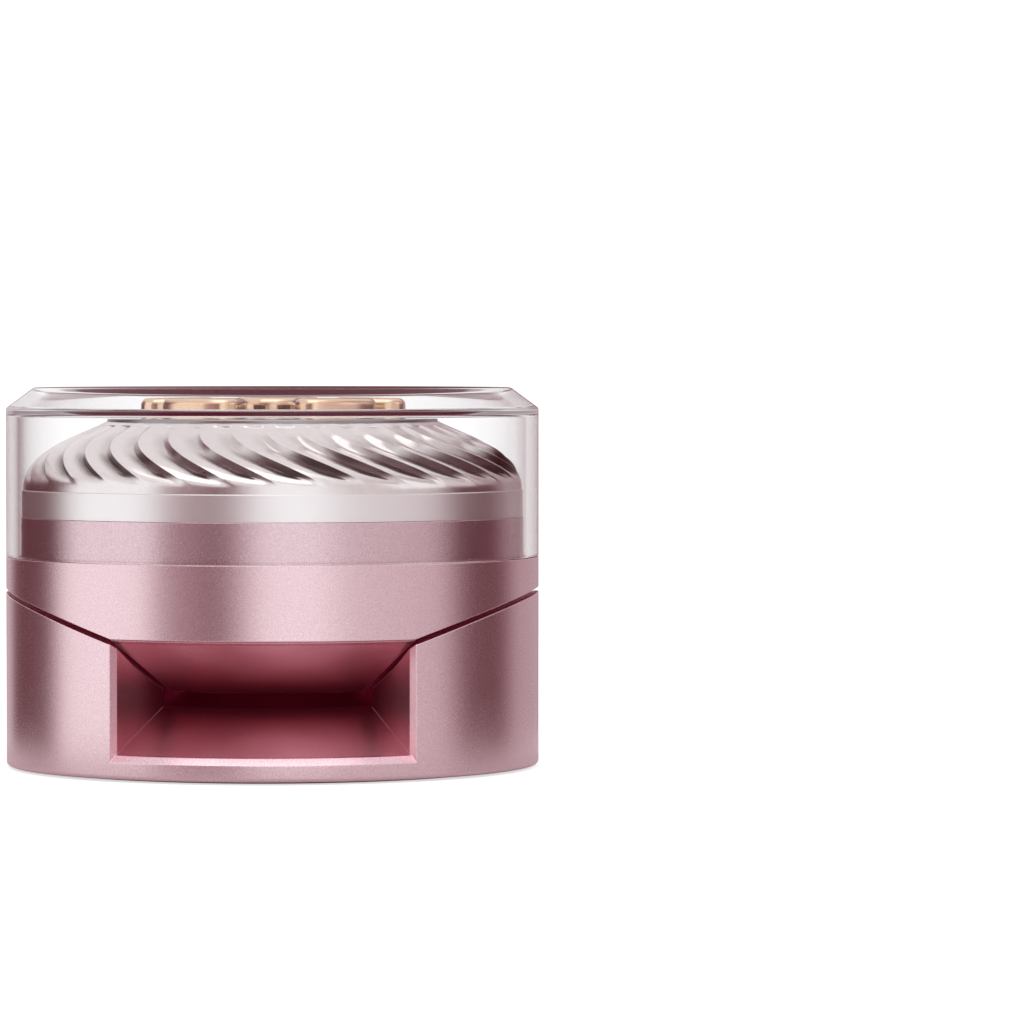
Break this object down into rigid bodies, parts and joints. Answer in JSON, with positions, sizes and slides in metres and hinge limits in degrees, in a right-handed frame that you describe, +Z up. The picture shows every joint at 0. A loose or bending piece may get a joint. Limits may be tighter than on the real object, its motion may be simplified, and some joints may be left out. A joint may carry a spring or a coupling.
{
  "type": "facial toning device",
  "caption": "Round facial toning head with gold electrodes in a red reflector inside a swirl-fluted ring, docked on a charging stand with a finger recess under a clear cap.",
  "frame": {"origin": "centre of the foot ring's underside, on the surface that the stand rests on", "axes": "+Z up along the axis of stand, head and cap; the finger recess faces -Y, the charging socket and power button +Y"},
  "size_m": [0.088, 0.088, 0.0626],
  "materials": {
    "rose_metal": "bead-blasted, anodised rose",
    "chrome_ring": "polished",
    "silver_band": "satin, turned",
    "satin_grey": "fine satin with bright edges",
    "gold_plate": "gold plated, flat top satin, rim polished",
    "red_reflector": "clear red, ribbed",
    "dark_red_seal": "silicone",
    "clear_acrylic": "clear, polished",
    "dark_rubber": "matt silicone",
    "dark_plastic": "fine grained",
    "pale_plastic": "moulded",
    "board_green": "circuit board",
    "bare_steel": "plated",
    "cell_foil": "foil pouch",
    "cable_film": "amber film"
  },
  "bodies": {
    "stand": {"stand_shell": "rose_metal", "bottom_plate": "dark_plastic", "foot_ring": "dark_rubber", "ballast_weight": "bare_steel", "charge_board": "board_green", "usb_socket": "bare_steel", "pin_block": "dark_plastic", "pin_barrels": "gold_plate", "pin_spring_left": "bare_steel", "pin_spring_right": "bare_steel", "seat_pads": "dark_rubber", "dock_magnets": "bare_steel", "base_screws": "bare_steel"},
    "charge_pin_left": {"charge_pin_left": "gold_plate"},
    "charge_pin_right": {"charge_pin_right": "gold_plate"},
    "head": {"head_shell": "rose_metal", "keel_cover": "rose_metal", "rim_band": "silver_band", "swirl_ring": "chrome_ring", "bezel_ring": "satin_grey", "reflector": "red_reflector", "electrode_center": "gold_plate", "electrode_1": "gold_plate", "electrode_2": "gold_plate", "electrode_3": "gold_plate", "electrode_4": "gold_plate", "electrode_5": "gold_plate", "electrode_seals": "dark_red_seal", "led_board": "pale_plastic", "leds": "pale_plastic", "inner_frame": "pale_plastic", "main_board": "board_green", "ribbon_cable": "cable_film", "battery": "cell_foil", "battery_tray": "pale_plastic", "vibration_motor": "bare_steel", "buzzer": "dark_plastic", "switch_body": "dark_plastic", "status_light": "pale_plastic", "charge_contacts": "gold_plate", "head_magnets": "bare_steel", "cover_screws": "bare_steel"},
    "power_button": {"power_button": "rose_metal", "switch_plunger": "pale_plastic"},
    "cap": {"clear_cap": "clear_acrylic"}
  },
  "joints": [
    {"name": "head_lift", "type": "slide", "parent": "stand", "child": "head", "axis": [0, 0, 1], "range_m": [0, 0.05]},
    {"name": "cap_lift", "type": "slide", "parent": "head", "child": "cap", "axis": [0, 0, 1], "range_m": [0, 0.04]},
    {"name": "power_press", "type": "slide", "parent": "head", "child": "power_button", "axis": [0, -1, 0], "range_m": [0, 0.0006], "stiffness_N_per_m": 2500, "springref_m": -0.0002},
    {"name": "charge_pin_left_press", "type": "slide", "parent": "stand", "child": "charge_pin_left", "axis": [0, 0, -1], "range_m": [0, 0.0005], "stiffness_N_per_m": 400, "springref_m": -0.0004, "deforming": ["pin_spring_left"]},
    {"name": "charge_pin_right_press", "type": "slide", "parent": "stand", "child": "charge_pin_right", "axis": [0, 0, -1], "range_m": [0, 0.0005], "stiffness_N_per_m": 400, "springref_m": -0.0004, "deforming": ["pin_spring_right"]}
  ]
}
